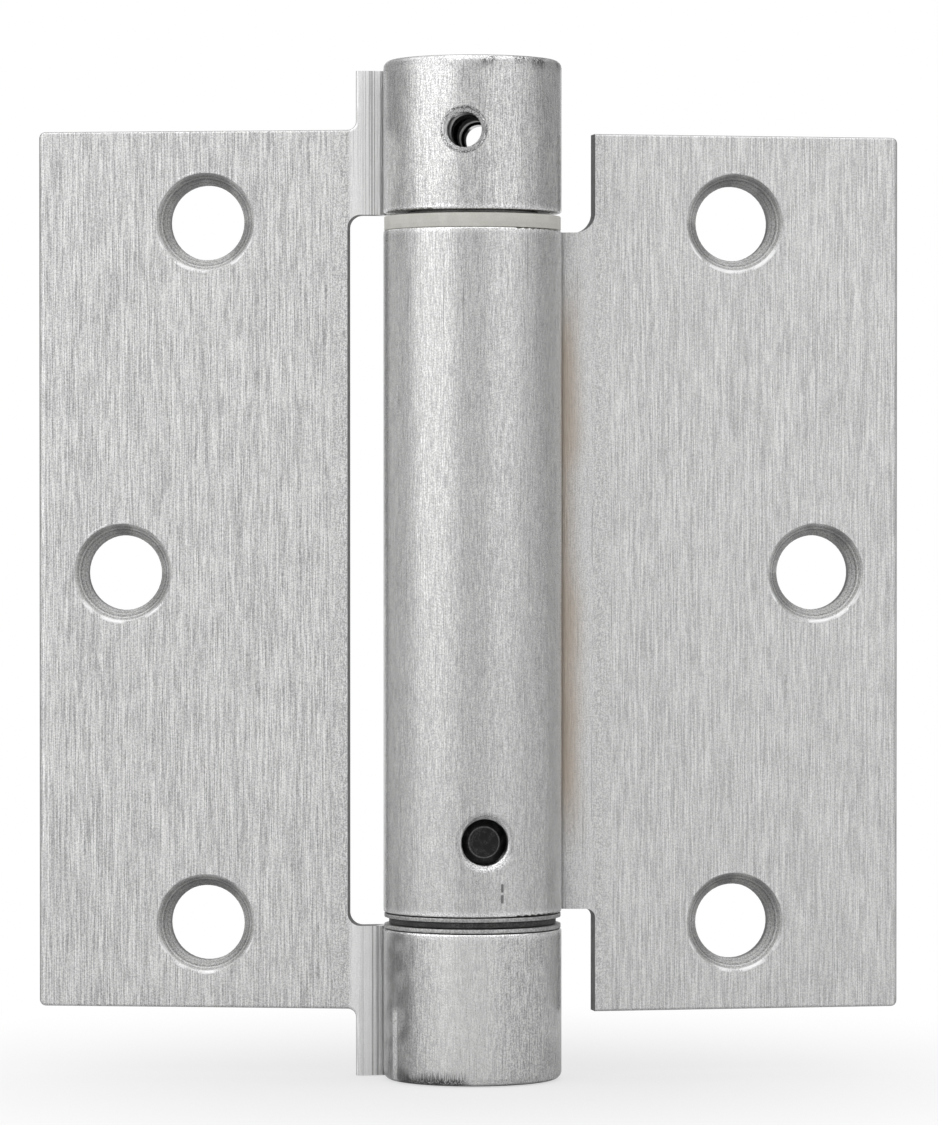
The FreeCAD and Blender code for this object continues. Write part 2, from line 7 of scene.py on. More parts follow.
import bpy
from bpy.props import FloatProperty, FloatVectorProperty, IntProperty, PointerProperty
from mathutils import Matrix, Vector


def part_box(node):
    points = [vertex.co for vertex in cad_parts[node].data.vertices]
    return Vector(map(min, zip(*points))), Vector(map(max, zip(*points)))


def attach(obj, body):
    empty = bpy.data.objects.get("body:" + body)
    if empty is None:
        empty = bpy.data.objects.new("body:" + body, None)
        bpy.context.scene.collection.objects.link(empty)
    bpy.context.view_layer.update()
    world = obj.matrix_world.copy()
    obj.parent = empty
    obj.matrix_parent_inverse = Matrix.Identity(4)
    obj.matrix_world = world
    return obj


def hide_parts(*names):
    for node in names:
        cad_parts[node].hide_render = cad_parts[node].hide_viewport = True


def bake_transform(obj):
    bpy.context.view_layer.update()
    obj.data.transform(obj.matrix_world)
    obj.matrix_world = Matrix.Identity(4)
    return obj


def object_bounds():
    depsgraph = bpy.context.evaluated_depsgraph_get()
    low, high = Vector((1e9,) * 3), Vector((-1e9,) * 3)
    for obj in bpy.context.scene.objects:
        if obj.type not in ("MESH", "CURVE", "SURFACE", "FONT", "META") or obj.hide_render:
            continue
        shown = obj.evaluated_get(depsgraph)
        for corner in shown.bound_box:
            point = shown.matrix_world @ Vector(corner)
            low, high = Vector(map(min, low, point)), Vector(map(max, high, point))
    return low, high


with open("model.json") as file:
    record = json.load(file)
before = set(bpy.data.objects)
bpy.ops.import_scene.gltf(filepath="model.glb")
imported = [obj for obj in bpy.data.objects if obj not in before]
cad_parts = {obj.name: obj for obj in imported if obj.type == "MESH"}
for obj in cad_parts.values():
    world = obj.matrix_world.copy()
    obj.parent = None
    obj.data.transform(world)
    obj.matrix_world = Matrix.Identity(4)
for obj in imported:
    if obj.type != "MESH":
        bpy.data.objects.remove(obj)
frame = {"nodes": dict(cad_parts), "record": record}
cad_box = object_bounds()

bl_info = {
    "name": "Spring Hinge Finish",
    "version": (1, 0, 0),
    "blender": (4, 5, 0),
    "location": "3D View > Sidebar > Spring Hinge",
    "description": "Finishes a spring loaded door hinge, and sets a studio to show it in",
    "category": "Object",
}

MM = 0.001

# Layout of the leaves in millimetres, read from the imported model
mounts = {mount["name"]: mount for mount in frame["record"]["mounts"]}


def mount_place(name):
    return Vector(mounts[name]["pos_m"]) / MM


FOLD_BACK = math.asin(mounts["door_leaf_screws"]["axis"][0])
LEAF_RUN = Vector((math.cos(FOLD_BACK), math.sin(FOLD_BACK), 0))
HOLE_LEVEL = mount_place("door_leaf_screws").z
END_HOLE_REACH = mount_place("door_leaf_screws").dot(LEAF_RUN)
END_HOLE_RISE = mounts["door_leaf_screws"]["dims"]["pcd_mm"] / 2
MIDDLE_HOLE_REACH = mount_place("door_leaf_middle_hole").dot(LEAF_RUN)
COUNTERSINK_RADIUS = 5.7
BARREL_RADIUS = -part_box("door_leaf")[0].y / MM
BARREL_TOP = cad_box[1].z / MM
UPPER_GAP_HEIGHT = 40.0
LOWER_GAP_HEIGHT = -40.25
TENSION_HOLE_HEIGHT = 50.0
TENSION_HOLE_BEARING = math.radians(-7.8)
TENSION_MOUTH_RADIUS = 2.55

# Where the bend and the painted light on its swaged part begin and are full, as a reach from the pin axis in
# millimetres
BEND_REACH = (17.0, 15.2)
PAINTED_BEND_LIGHT_REACH = (14.8, 13.9)

# Places of wear, of painted highlights and of darker and lighter bands on the barrel in millimetres, across
# the front and up from mid height
LIGHTER_FRONT_ACROSS = -1.2
DARK_BAND_ACROSS = -8.7
SCRAPE_ACROSS = -9.05
SCRAPE_TOP = -49.5
HIGHLIGHT_PATCH_ACROSS = -4.4
LOW_KNOCKS_ACROSS = -4.8
NICKS_ACROSS = 3.0
NICKS_HEIGHT = -36.6

# The anchor pin and the ends of the spring, in metres
PIN_MIDDLE = sum(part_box("anchor_pin"), Vector()) / 2
PIN_BEARING = math.atan2(PIN_MIDDLE.x, -PIN_MIDDLE.y)
SPRING_LOW, SPRING_HIGH = (corner.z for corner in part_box("torsion_spring"))

# Fineness of the modelled pieces
DRUM_SIDES = 128
PIN_SIDES = 96
WIRE_SIDES = 16
STEPS_PER_TURN = 40
BEND_STEPS = 9
SQUARE_EDGE = 60
CHAMFERED_EDGE = 30
SMOOTH_ANGLE = math.radians(32)

# Studio, in metres apart from the sensor in millimetres
CAMERA_AIM = Vector((-0.4, 0.0, 0.86)) * MM
SENSOR_HEIGHT = 24.0
ROOM_FRONT = Vector((-0.1, -0.995, 0))
SOFTBOX_DISTANCE = 1.1
SOFTBOX_RISE = 0.4
SOFTBOX_HEIGHT = 1.3
FLOOR_RADIUS = 4.0
FLOOR_GAP = 0.1 * MM

WHITE = (1, 1, 1)
BLACK = (0, 0, 0)
BORE_SHADE = (0.02, 0.02, 0.02)
SOCKET_SHADE = (0.02, 0.018, 0.015)
BROWN_OIL = (0.05, 0.035, 0.02)
FLOOR_GREY = (0.58, 0.58, 0.58)


# Settings a user would change
def colour(name, description, default):
    return FloatVectorProperty(
        name=name, description=description, subtype="COLOR", size=3, min=0, max=1, default=default
    )


def length(name, description, millimetres):
    return FloatProperty(
        name=name, description=description, unit="LENGTH", min=0, precision=5, default=millimetres * MM
    )


def share(name, description, default):
    return FloatProperty(
        name=name, description=description, subtype="FACTOR", min=0, max=1, default=default
    )


def brightness(name, description, default):
    return FloatProperty(name=name, description=description, min=0, default=default)


class SteelSettings(bpy.types.PropertyGroup):
    light: colour("Light strokes", "Brushed steel on the crest of a stroke", (0.96, 0.957, 0.95))
    dark: colour("Dark strokes", "Brushed steel in the bottom of a stroke", (0.36, 0.36, 0.363))
    # The cut colour is also the dark of painted shade: on the sheared walls, in the crease and at the tops
    # of the countersinks.
    cut: colour("Cut edges and painted shade", "Sheared walls and drilled holes", (0.1, 0.1, 0.1))
    tint: colour("Heat tint", "Left by the heat of rolling on the bend of the door leaf", (0.56, 0.45, 0.34))
    stroke_width: length("Stroke width", "Width of one brush stroke", 0.1)
    stroke_length: length("Stroke length", "Length of a brush stroke", 3.0)
    frame_contrast: share("Frame leaf contrast", "How strongly the strokes show on the frame leaf", 1.0)
    door_contrast: share("Door leaf contrast", "How strongly the strokes show on the door leaf", 0.72)
    barrel_tone: share("Barrel tone", "Tone of the barrel against the flat leaves", 0.9)
    leaf_roughness: share("Leaf roughness", "Roughness of the flat leaves", 0.4)
    barrel_roughness: share("Barrel roughness", "Roughness of the rolled barrel", 0.25)


class RingSettings(bpy.types.PropertyGroup):
    nylon: colour("Nylon", "Colour of the upper bush", (0.56, 0.55, 0.505))
    washer: colour("Washer steel", "Colour of the thrust washers", (0.55, 0.55, 0.545))
    black: colour("Slip ring", "Colour of the filled polymer ring", (0.02, 0.02, 0.02))
    bush_bore: length("Bush bore", "Radius of the bore of the nylon bush", 5.57)
    sleeve: length("Bush sleeve", "Radius of the sleeve below the flange of the bush", 7.52)
    sleeve_length: length("Sleeve length", "Length of the sleeve below the flange of the bush", 10.0)
    washer_bore: length("Washer bore", "Radius of the bore of the rings in the lower gap", 5.66)
    moulded_edge: length("Moulded edges", "Rounding of the edges of the bush", 0.1)
    punched_edge: length("Punched edges", "Rounding of the edges of the flat rings", 0.05)


class PinSettings(bpy.types.PropertyGroup):
    black: colour("Blackening", "Colour of the blackened anchor pin", (0.006, 0.006, 0.006))
    worn: colour("Worn edge", "Colour where the blackening is rubbed off", (0.14, 0.14, 0.14))
    radius: length("Pin radius", "Radius of the anchor pin", 2.65)
    length: length("Pin length", "Length of the anchor pin", 6.0)
    chamfer: length("Chamfer", "Chamfer of both ends", 0.9)
    dish: length("Dish", "Depth of the dished end", 0.06)


class SpringSettings(bpy.types.PropertyGroup):
    wire: colour("Wire", "Colour of the drawn spring wire", (0.2, 0.2, 0.195))
    wire_radius: length("Wire radius", "Radius of the spring wire", 1.2)
    coil_radius: length("Coil radius", "Radius to the middle of the wire", 6.0)
    bend_radius: length("Bend radius", "Radius of the bend between the coil and a tang", 1.8)
    tang_overrun: length("Tang overrun", "How far a tang runs past the pin axis", 3.0)
    end_swell: length("End swell", "Room above and below the wire at the ends", 0.06)
    turns: IntProperty(name="Turns", description="Whole turns of the coil", min=1, default=19)


class PlugSettings(bpy.types.PropertyGroup):
    light: colour("Light grooves", "Turned steel on the crest of a groove", (0.4, 0.4, 0.39))
    dark: colour("Dark grooves", "Turned steel in the bottom of a groove", (0.18, 0.18, 0.175))
    groove_pitch: length("Groove pitch", "Distance between the grooves of the turning tool", 0.2)


class StudioSettings(bpy.types.PropertyGroup):
    distance: length("Camera distance", "From the pin axis to the camera", 620.0)
    bearing: FloatProperty(
        name="Camera bearing",
        description="Turn of the camera about the pin axis, towards the door leaf",
        unit="ROTATION",
        default=math.radians(-2.2),
    )
    rise: length("Camera height", "Height of the camera above mid height of the leaves", 7.48)
    focal_length: FloatProperty(
        name="Focal length", description="For a sensor 24 mm high", unit="CAMERA", default=114.94
    )
    left: brightness("Left softbox", "Brightness of the wide softbox, as the hinge sees it", 0.64)
    right: brightness("Right softbox", "Brightness of the narrow softbox, as the hinge sees it", 0.33)
    fill: brightness("Room", "Brightness of the room in front of the hinge", 0.765)
    shade: brightness("Shade", "Brightness of the room beside and behind the hinge", 0.42)
    ceiling: brightness("Ceiling", "Brightness of the ceiling above the hinge", 1.45)
    shadow: share("Floor shadow", "How much of the hinge's shadow the floor shows", 0.35)


class HingeSettings(bpy.types.PropertyGroup):
    steel: PointerProperty(type=SteelSettings)
    rings: PointerProperty(type=RingSettings)
    pin: PointerProperty(type=PinSettings)
    spring: PointerProperty(type=SpringSettings)
    plugs: PointerProperty(type=PlugSettings)
    studio: PointerProperty(type=StudioSettings)


# Wiring of shader nodes
class Wiring:
    """Adds nodes to a tree; an input is fed by a socket or set to a value."""

    def __init__(self, tree):
        self.tree = tree

    def feed(self, socket, value):
        if isinstance(value, bpy.types.NodeSocket):
            self.tree.links.new(value, socket)
        else:
            socket.default_value = value

    def add(self, kind, inputs=None, **settings):
        node = self.tree.nodes.new(kind)
        for name, value in settings.items():
            setattr(node, name, value)
        for name, value in (inputs or {}).items():
            self.feed(node.inputs[name], value)
        return node

    def math(self, operation, *values):
        node = self.add("ShaderNodeMath", operation=operation)
        for socket, value in zip(node.inputs, values):
            self.feed(socket, value)
        return node.outputs[0]

    def total(self, *values):
        return reduce(lambda a, b: self.math("ADD", a, b), values)

    def product(self, *values):
        return reduce(lambda a, b: self.math("MULTIPLY", a, b), values)

    def mix(self, *shares):
        """The sum of patterns, each with its weight."""
        return self.total(*(self.product(pattern, weight) for pattern, weight in shares))

    def hypotenuse(self, a, b):
        return self.math("SQRT", self.total(self.product(a, a), self.product(b, b)))

    def away(self, value, middle):
        """Distance of a value from a middle."""
        return self.math("ABSOLUTE", self.math("SUBTRACT", value, middle))

    def fade(self, value, none, full):
        """0 where the value is at none, 1 at full, smooth between."""
        inputs = {"Value": value, "From Min": none, "From Max": full}
        return self.add("ShaderNodeMapRange", inputs, interpolation_type="SMOOTHSTEP").outputs["Result"]

    def scale(self, value, low, high):
        """Stretch a value of 0 to 1 to run from low to high."""
        node = self.add("ShaderNodeMapRange", {"Value": value, "To Min": low, "To Max": high}, clamp=False)
        return node.outputs["Result"]

    def blend(self, share, a, b):
        node = self.add("ShaderNodeMix", data_type="RGBA")
        self.feed(node.inputs[0], share)
        for socket, value in ((node.inputs[6], a), (node.inputs[7], b)):
            self.feed(socket, (*value, 1) if isinstance(value, (tuple, list)) else value)
        return node.outputs[2]

    def pick(self, share, a, b):
        """A number between a and b."""
        node = self.add("ShaderNodeMix", data_type="FLOAT")
        for socket, value in zip(node.inputs[:1] + node.inputs[2:4], (share, a, b)):
            self.feed(socket, value)
        return node.outputs[0]

    def dot(self, a, b):
        return self.add("ShaderNodeVectorMath", {0: a, 1: b}, operation="DOT_PRODUCT").outputs["Value"]

    def vector(self, x, y, z):
        return self.add("ShaderNodeCombineXYZ", {"X": x, "Y": y, "Z": z}).outputs[0]

    def noise(self, vector, detail, roughness):
        inputs = {"Vector": vector, "Scale": 1.0, "Detail": detail, "Roughness": roughness}
        return self.add("ShaderNodeTexNoise", inputs).outputs["Fac"]

    def shown(self, mirrored_part):
        """1 for the camera's rays, and the given mask for rays mirrored by a piece."""
        ray = self.add("ShaderNodeLightPath").outputs
        mirrored = self.math("MAXIMUM", ray["Is Glossy Ray"], ray["Is Transmission Ray"])
        return self.math("MAXIMUM", ray["Is Camera Ray"], self.product(mirrored, mirrored_part))

    def millimetres(self):
        """The place on the piece, as x, y and z in millimetres."""
        place = self.add("ShaderNodeTexCoord").outputs["Object"]
        scaled = self.add("ShaderNodeVectorMath", {0: place}, operation="SCALE")
        scaled.inputs["Scale"].default_value = 1 / MM
        parts = self.add("ShaderNodeSeparateXYZ", {0: scaled.outputs[0]})
        return parts.outputs["X"], parts.outputs["Y"], parts.outputs["Z"]


def new_group(name, inputs, outputs):
    """A shader node group with named number sockets; returns its wiring, its inputs and its output node."""
    tree = bpy.data.node_groups.new(name, "ShaderNodeTree")
    for socket, default in inputs.items():
        made = tree.interface.new_socket(name=socket, in_out="INPUT", socket_type="NodeSocketFloat")
        made.default_value = default
    for socket in outputs:
        tree.interface.new_socket(name=socket, in_out="OUTPUT", socket_type="NodeSocketFloat")
    wiring = Wiring(tree)
    given = wiring.add("NodeGroupInput")
    return wiring, given.outputs, wiring.add("NodeGroupOutput").inputs


def use_group(wiring, name, **values):
    """Place a group in a material, with its own values."""
    node = wiring.add("ShaderNodeGroup", node_tree=bpy.data.node_groups[name])
    for socket, value in values.items():
        wiring.feed(node.inputs[socket], value)
    return node.outputs


def use_specks(wiring, grain, seed):
    return use_group(wiring, "specks", Grain=grain, Seed=seed)["Specks"]


def make_brush_group():
    """Strokes along the pin, drawn out in height, and the few deep scratches among them."""
    inputs = {"Width": 0.15, "Length": 3.0, "Seed": 0.0}
    wiring, given, result = new_group("brush_strokes", inputs, ["Strokes", "Scratches"])
    x, y, z = wiring.millimetres()
    across = wiring.math("DIVIDE", x, given["Width"])
    deep = wiring.total(wiring.math("DIVIDE", y, given["Width"]), given["Seed"])
    along = wiring.math("DIVIDE", z, given["Length"])
    strokes = wiring.noise(wiring.vector(across, deep, along), detail=0.6, roughness=0.5)
    wiring.feed(result["Strokes"], wiring.fade(strokes, 0.41, 0.59))
    wiring.feed(result["Scratches"], wiring.fade(strokes, 0.7, 0.76))


def make_speck_group():
    """Grains and pits without direction."""
    wiring, given, result = new_group("specks", {"Grain": 0.2, "Seed": 0.0}, ["Specks"])
    x, y, z = wiring.millimetres()
    place = [wiring.math("DIVIDE", part, given["Grain"]) for part in (x, y, z)]
    place[2] = wiring.total(place[2], given["Seed"])
    specks = wiring.noise(wiring.vector(*place), detail=0.6, roughness=0.5)
    wiring.feed(result["Specks"], wiring.fade(specks, 0.39, 0.61))


def make_groove_group():
    """Fine grooves of a turning tool, by the distance that the tool has moved."""
    wiring, given, result = new_group("turned_grooves", {"Distance": 0.0, "Pitch": 0.2}, ["Grooves"])
    steps = wiring.math("DIVIDE", given["Distance"], given["Pitch"])
    grooves = wiring.noise(wiring.vector(steps, 0.0, 0.0), detail=2.0, roughness=0.6)
    wiring.feed(result["Grooves"], wiring.fade(grooves, 0.3, 0.7))


def make_layout_group():
    """Where a point lies on a leaf, and how its surface is turned."""
    outputs = ["Reach", "Height", "Across", "Radius", "Hole", "Drop", "Pin", "Tension"]
    outputs += ["Rim", "Front", "Facing", "Level"]
    wiring, _, result = new_group("leaf_layout", {}, outputs)
    x, y, z = wiring.millimetres()
    side = wiring.math("ABSOLUTE", x)
    reach = wiring.total(wiring.product(side, LEAF_RUN.x), wiring.product(y, LEAF_RUN.y))
    rise = wiring.away(z, HOLE_LEVEL)
    end_hole = wiring.hypotenuse(wiring.away(reach, END_HOLE_REACH), wiring.away(rise, END_HOLE_RISE))
    middle_hole = wiring.hypotenuse(wiring.away(reach, MIDDLE_HOLE_REACH), rise)
    outer_rim = wiring.away(wiring.math("ABSOLUTE", z), BARREL_TOP)
    gap = wiring.math("MINIMUM", wiring.away(z, UPPER_GAP_HEIGHT), wiring.away(z, LOWER_GAP_HEIGHT))
    inner_rim = wiring.away(gap, 1.0)
    level = wiring.math("SUBTRACT", z, HOLE_LEVEL)
    row = wiring.product(wiring.math("ROUND", wiring.product(level, 1 / END_HOLE_RISE)), END_HOLE_RISE)

    def from_cross_hole(bearing, height):
        sideways = wiring.total(wiring.product(x, math.cos(bearing)), wiring.product(y, math.sin(bearing)))
        return wiring.hypotenuse(sideways, wiring.away(z, height))

    normal = wiring.add("ShaderNodeTexCoord").outputs["Normal"]
    parts = wiring.add("ShaderNodeSeparateXYZ", {0: normal}).outputs
    outward = wiring.product(parts["X"], wiring.math("SIGN", x), LEAF_RUN.y)
    facing = wiring.math("SUBTRACT", outward, wiring.product(parts["Y"], LEAF_RUN.x))
    places = {
        "Reach": reach,
        "Height": z,
        "Across": x,
        "Radius": wiring.hypotenuse(x, y),
        "Hole": wiring.math("MINIMUM", end_hole, middle_hole),
        "Drop": wiring.math("SUBTRACT", row, level),
        "Pin": from_cross_hole(PIN_BEARING, PIN_MIDDLE.z / MM),
        "Tension": from_cross_hole(TENSION_HOLE_BEARING, TENSION_HOLE_HEIGHT),
        "Rim": wiring.math("MINIMUM", outer_rim, inner_rim),
        "Front": wiring.fade(y, -4.0, -6.0),
        "Facing": facing,
        "Level": wiring.math("ABSOLUTE", parts["Z"]),
    }
    for name, value in places.items():
        wiring.feed(result[name], value)


# Materials
def new_material(name, base, **shader_values):
    """A material with a Principled shader whose plain values are set on its own sockets."""
    material = bpy.data.materials.new(name)
    material.use_nodes = True
    material.diffuse_color = (*base, 1)
    wiring = Wiring(material.node_tree)
    shader = material.node_tree.nodes["Principled BSDF"]
    shader.inputs["Base Color"].default_value = (*base, 1)
    for socket, value in shader_values.items():
        shader.inputs[socket.replace("_", " ")].default_value = value
    return material, wiring, shader


def add_bump(wiring, shader, height, depth):
    """Raise the surface by a height of 0 to 1 times a depth in millimetres."""
    bump = wiring.add("ShaderNodeBump", {"Height": height, "Strength": 1.0, "Distance": depth * MM})
    wiring.feed(shader.inputs["Normal"], bump.outputs["Normal"])


def dress(wiring, shader, base, roughness, height, depth):
    """Feed a shader its colour, its roughness and its bumps."""
    wiring.feed(shader.inputs["Base Color"], base)
    wiring.feed(shader.inputs["Roughness"], roughness)
    add_bump(wiring, shader, height, depth)


def finish(piece, material):
    piece.data.materials.clear()
    piece.data.materials.append(material)


def between(a, b, part):
    """The colour a part of the way from a to b."""
    return tuple(x + (y - x) * part for x, y in zip(a, b))


class LeafSteel:
    """Sheet steel brushed along the pin, with sheared walls, turned countersinks and a rolled barrel."""

    def __init__(self, name, steel, contrast, painted_bend_light, seed):
        middle = between(steel.light, steel.dark, 0.5)
        self.light, self.dark = between(middle, steel.light, contrast), between(middle, steel.dark, contrast)
        self.cut = tuple(steel.cut)
        self.material, self.wiring, self.shader = new_material(name, middle, Metallic=1.0)
        self.place = use_group(self.wiring, "leaf_layout")
        self.draw_patterns(steel, seed)
        self.mask_regions()
        self.brush(steel, painted_bend_light)
        self.rub_and_light_rims()
        self.cut_holes()
        self.darken_walls()
        self.set_surface(steel)

    def draw_patterns(self, steel, seed):
        """Strokes of three lengths, fine specks and wide clouds."""
        wiring = self.wiring
        width, run = steel.stroke_width / MM, steel.stroke_length / MM
        fine = use_group(wiring, "brush_strokes", Width=width, Length=run, Seed=seed)
        drawn = use_group(wiring, "brush_strokes", Width=1.4 * width, Length=4 * run, Seed=seed + 40)
        short = use_group(wiring, "brush_strokes", Width=0.8 * width, Length=run / 2.5, Seed=seed + 70)
        self.fine, self.drawn, self.short = fine["Strokes"], drawn["Strokes"], short["Strokes"]
        self.scratches = drawn["Scratches"]
        self.specks = use_specks(wiring, 1.5 * width, seed)
        self.clouds = use_specks(wiring, 2.6, seed + 9)

    def mask_regions(self):
        """Masks of the barrel, the flat sheet, the bend, the countersinks, the walls and the bore."""
        wiring, place = self.wiring, self.place
        self.barrel = wiring.fade(place["Radius"], BARREL_RADIUS + 0.6, BARREL_RADIUS + 0.05)
        self.upright = wiring.product(self.barrel, wiring.fade(place["Level"], 0.95, 0.8))
        self.flat = wiring.fade(self.barrel, 1.0, 0.0)
        self.bend = wiring.product(wiring.fade(place["Reach"], *BEND_REACH), self.flat)
        self.face = wiring.fade(place["Facing"], 0.1, 0.4)
        cone = wiring.fade(place["Hole"], COUNTERSINK_RADIUS + 0.08, COUNTERSINK_RADIUS - 0.08)
        self.cone = wiring.product(cone, self.face)
        off_barrel = wiring.fade(place["Radius"], BARREL_RADIUS + 0.9, BARREL_RADIUS + 1.7)
        wall = wiring.fade(wiring.math("ABSOLUTE", place["Facing"]), 0.8, 0.4)
        self.wall = wiring.product(wall, off_barrel, wiring.fade(self.cone, 0.5, 0.0))
        inside = wiring.fade(place["Radius"], BARREL_RADIUS - 0.3, BARREL_RADIUS - 0.7)
        self.inside = wiring.product(inside, wiring.fade(place["Level"], 0.85, 0.6))

    def brush(self, steel, painted_bend_light):
        """Strokes along the pin, shorter on the barrel, and a matte bend, whitened on its swaged part near
        the barrel as painted light against the barrel's shade.
        """
        wiring = self.wiring
        leaf_strokes = wiring.mix((self.fine, 0.38), (self.drawn, 0.27), (self.specks, 0.35))
        barrel_strokes = wiring.mix((self.fine, 0.28), (self.short, 0.3), (self.specks, 0.42))
        matte = wiring.total(wiring.mix((self.specks, 0.45), (self.short, 0.3)), 0.12)
        self.grain = wiring.pick(self.barrel, leaf_strokes, barrel_strokes)
        self.grain = wiring.pick(self.bend, self.grain, matte)
        self.base = wiring.blend(self.grain, self.dark, self.light)
        self.shade_towards(BLACK, self.barrel, 1.0 - steel.barrel_tone)
        # Painted light: the swaged part of the bend is whitened where the barrel shades it.
        bend_light_mask = wiring.product(self.bend, wiring.fade(self.place["Reach"], *PAINTED_BEND_LIGHT_REACH))
        self.shade_towards(WHITE, bend_light_mask, painted_bend_light)
        self.shade_towards(self.cut, self.scratches, 0.4)

    def rub_and_light_rims(self):
        """Ends of the knuckles, sawn dull, with rims whitened in specks: partly rubbed bright, partly
        painted highlight.
        """
        wiring, place = self.wiring, self.place
        sawn = wiring.product(self.barrel, wiring.fade(place["Level"], 0.8, 0.95))
        # Painted highlight with rubbing: the rounded rims of the knuckle ends are whitened in specks.
        rubbed = wiring.product(self.upright, wiring.fade(place["Rim"], 0.8, 0.1))
        self.shade_towards(WHITE, rubbed, wiring.scale(self.specks, 0.2, 0.85))
        self.shade_towards(self.cut, sawn, wiring.scale(self.short, 0.3, 0.5))

    def cut_holes(self):
        """Turned countersinks, darkened at the top as painted shade, with a broken burr round the rim
        whitened on the lower side as painted highlight.
        """
        wiring, place = self.wiring, self.place
        distance = place["Hole"]
        self.grooves = use_group(wiring, "turned_grooves", Distance=distance, Pitch=0.3)["Grooves"]
        chatter = wiring.mix((self.grooves, 0.7), (self.specks, 0.3))
        turned = wiring.blend(chatter, between(self.cut, self.dark, 0.2), self.light)
        self.base = wiring.blend(self.cone, self.base, turned)
        # Painted shade: the top of each countersink is darkened in clouds.
        oil = wiring.product(self.cone, wiring.fade(place["Drop"], 0.0, -5.0))
        self.shade_towards(self.cut, oil, wiring.scale(self.clouds, 0.2, 0.55))
        burr = wiring.fade(wiring.away(distance, COUNTERSINK_RADIUS), 0.3, 0.14)
        broken = wiring.fade(wiring.mix((self.clouds, 0.6), (self.short, 0.4)), 0.35, 0.6)
        self.burr = wiring.product(burr, self.face, broken)
        # Painted highlight: the burr is whitened on the lower side of each hole.
        self.shade_towards(WHITE, self.burr, wiring.fade(place["Drop"], 1.0, 3.5))

    def darken_walls(self):
        """Painted shade on the sheared walls, the inside of the barrel and the crease along it."""
        wiring = self.wiring
        # Painted shade: the sheared walls are darkened.
        self.shade_towards(self.cut, self.wall, wiring.scale(self.short, 1.0, 0.85))
        # Painted shade in the bore of the barrel.
        self.shade_towards(BORE_SHADE, self.inside)
        # Painted shade in the crease between the barrel and the flat sheet.
        crease_shade = wiring.fade(self.place["Radius"], BARREL_RADIUS + 0.6, BARREL_RADIUS + 0.25)
        self.shade_towards(self.cut, self.flat, crease_shade)

    def set_surface(self, steel):
        """Roughness, metal and bumps."""
        wiring = self.wiring
        roughness = wiring.pick(self.barrel, steel.leaf_roughness, steel.barrel_roughness)
        self.roughness = wiring.total(
            roughness,
            wiring.product(wiring.math("SUBTRACT", 0.5, self.grain), 0.1),
            wiring.product(self.bend, 0.08),
            wiring.product(self.wall, 0.1),
            wiring.product(self.inside, 0.6),
        )
        # Painted shade: the walls and the bore are made dull and less metallic.
        dull = wiring.mix((self.wall, 0.8), (self.inside, 0.8))
        wiring.feed(self.shader.inputs["Metallic"], wiring.math("SUBTRACT", 1.0, dull))
        ragged = wiring.product(self.burr, wiring.scale(self.specks, 1.0, 5.0))
        brushed = wiring.total(self.fine, wiring.product(self.specks, 0.5), ragged)
        brushed = wiring.product(brushed, wiring.scale(self.barrel, 1.0, 0.6))
        relief = wiring.pick(self.cone, brushed, wiring.product(self.grooves, 2.0))
        add_bump(wiring, self.shader, relief, 0.008)

    def shade_towards(self, colour, *masks):
        """Shift the colour where all masks are 1."""
        self.base = self.wiring.blend(self.wiring.product(*masks), self.base, colour)

    def put_on(self, node):
        self.wiring.feed(self.shader.inputs["Base Color"], self.base)
        self.wiring.feed(self.shader.inputs["Roughness"], self.roughness)
        finish(frame["nodes"][node], self.material)


def mark_low_knuckle(steel):
    """Darker down the left of the low knuckle, with a bright scrape in it, and lighter across its front."""
    wiring, place = steel.wiring, steel.place
    low = wiring.fade(place["Height"], LOWER_GAP_HEIGHT, LOWER_GAP_HEIGHT - 1.5)
    low = wiring.product(steel.barrel, low)
    front = wiring.fade(wiring.away(place["Across"], LIGHTER_FRONT_ACROSS), 5.5, 1.5)
    steel.shade_towards(steel.light, low, front, 0.35)
    left = wiring.fade(wiring.away(place["Across"], DARK_BAND_ACROSS), 2.6, 0.6)
    steel.shade_towards(steel.cut, low, left, wiring.scale(steel.clouds, 0.35, 0.65))
    scrape = wiring.fade(wiring.away(place["Across"], SCRAPE_ACROSS), 0.34, 0.12)
    scrape = wiring.product(low, scrape, wiring.fade(place["Height"], SCRAPE_TOP, SCRAPE_TOP - 1.5))
    steel.shade_towards(WHITE, scrape, wiring.scale(steel.specks, 0.3, 1.0))


